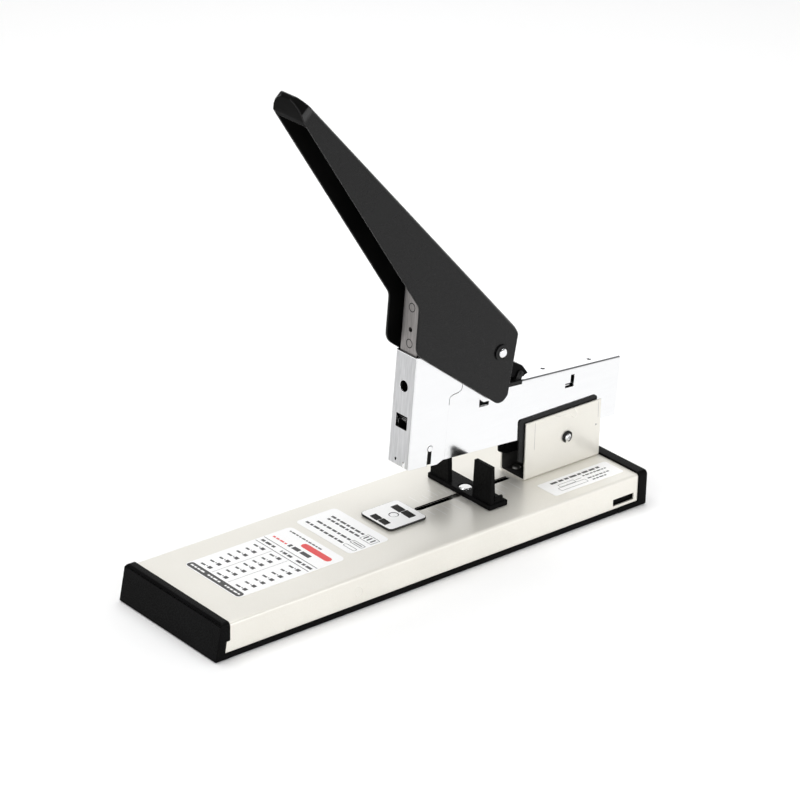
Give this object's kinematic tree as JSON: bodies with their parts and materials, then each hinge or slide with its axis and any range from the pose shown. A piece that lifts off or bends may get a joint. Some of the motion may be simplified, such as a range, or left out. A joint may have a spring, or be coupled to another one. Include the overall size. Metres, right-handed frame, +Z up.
{
  "type": "heavy-duty long base stapler",
  "caption": "Heavy-duty stapler: long flat painted base, hinged bright steel head with magazine, long black lever handle, turning anvil plate and sliding depth guide.",
  "frame": {"origin": "on the table, under the middle of the whole length and width at rest", "axes": "+X towards the rear, where the head is hinged; +Y across; +Z up"},
  "size_m": [0.2916, 0.0806, 0.263],
  "materials": {
    "cream_paint": "satin",
    "black_paint": "satin",
    "black_plastic": "satin",
    "rubber": "matte",
    "chrome": "polished",
    "bright_steel": "brushed",
    "brushed_steel": "brushed",
    "spring_steel": "drawn wire",
    "zinc_steel": "zinc plated",
    "bush_brass": "turned",
    "label_film": "printed film"
  },
  "bodies": {
    "base": {"base_shell": "cream_paint", "front_cap": "black_plastic", "rear_cap": "black_plastic", "bottom_cover": "black_plastic", "rubber_feet": "rubber", "bottom_screws": "zinc_steel", "base_stiffener": "zinc_steel", "rear_bracket": "cream_paint", "bracket_rivets": "zinc_steel", "head_axle": "chrome", "axle_clips": "black_paint", "lift_spring": "spring_steel", "size_label": "label_film", "note_label": "label_film", "rear_label": "label_film", "anvil_spring": "spring_steel"},
    "anvil_post": {"anvil_post": "bright_steel", "anvil_clip": "zinc_steel"},
    "anvil": {"anvil_plate": "bright_steel"},
    "depth_guide": {"depth_guide": "black_plastic", "guide_stud": "bright_steel", "guide_washer": "spring_steel", "guide_clamp": "zinc_steel"},
    "head": {"head_channel": "chrome", "head_yoke": "black_paint", "yoke_rivets": "zinc_steel", "front_housing": "chrome", "housing_rivets": "zinc_steel", "nose_studs": "chrome", "handle_pin": "chrome", "handle_clips": "black_paint", "inner_bushes": "bush_brass", "outer_bushes": "bush_brass", "handle_spring": "spring_steel", "latch_mount": "black_paint", "latch_pin": "black_paint", "latch_spring": "spring_steel"},
    "driver": {"driver_blade": "brushed_steel", "driver_hammer": "brushed_steel", "driver_rivets": "brushed_steel"},
    "magazine": {"magazine_rail": "bright_steel", "magazine_end": "bright_steel", "pusher_rod": "bright_steel", "staple_stick": "bright_steel", "pusher_spring": "spring_steel"},
    "pusher": {"pusher": "black_plastic"},
    "latch": {"magazine_latch": "black_plastic"},
    "handle": {"handle_shell": "black_paint", "press_lever": "zinc_steel", "lever_rivets": "black_paint", "link_pin": "bright_steel"}
  },
  "joints": [
    {"name": "head_tilt", "type": "hinge", "parent": "base", "child": "head", "pos_m": [0.10723, 0, 0.0369], "axis": [0, -1, 0], "range_deg": [0, 13.8], "stiffness_Nm_per_rad": 1, "springref_deg": -45.84, "deforming": ["lift_spring"]},
    {"name": "handle_press", "type": "hinge", "parent": "head", "child": "handle", "pos_m": [0.05631, 0, 0.10011], "axis": [0, -1, 0], "range_deg": [0, 34.9], "stiffness_Nm_per_rad": 0.3, "springref_deg": -80.21},
    {"name": "driver_stroke", "type": "slide", "parent": "head", "child": "driver", "axis": [-0.0698, 0, -0.9976], "range_m": [0, 0.027]},
    {"name": "magazine_slide", "type": "slide", "parent": "head", "child": "magazine", "axis": [0.9976, 0, -0.0698], "range_m": [0, 0.09]},
    {"name": "pusher_slide", "type": "slide", "parent": "magazine", "child": "pusher", "axis": [0.9976, 0, -0.0698], "range_m": [0, 0.045], "stiffness_N_per_m": 60, "springref_m": -0.03, "deforming": ["pusher_spring"]},
    {"name": "latch_press", "type": "hinge", "parent": "head", "child": "latch", "pos_m": [0.0762, 0, 0.08057], "axis": [0, -1, 0], "range_deg": [0, 9], "stiffness_Nm_per_rad": 0.003, "springref_deg": -57.3, "deforming": ["latch_spring"]},
    {"name": "guide_slide", "type": "slide", "parent": "base", "child": "depth_guide", "axis": [1, 0, 0], "range_m": [-0.022, 0.02]},
    {"name": "anvil_lift", "type": "slide", "parent": "base", "child": "anvil_post", "axis": [0, 0, 1], "range_m": [0, 0.0012], "stiffness_N_per_m": 300, "springref_m": -0.003, "deforming": ["anvil_spring"]},
    {"name": "anvil_turn", "type": "hinge", "parent": "anvil_post", "child": "anvil", "pos_m": [-0.00248, 0, 0.0191], "axis": [0, 0, 1], "range_deg": [0, 180]}
  ],
  "couplings": [
    {"joint": "driver_stroke", "follows": "handle_press", "m_per_rad": 0.04431}
  ]
}
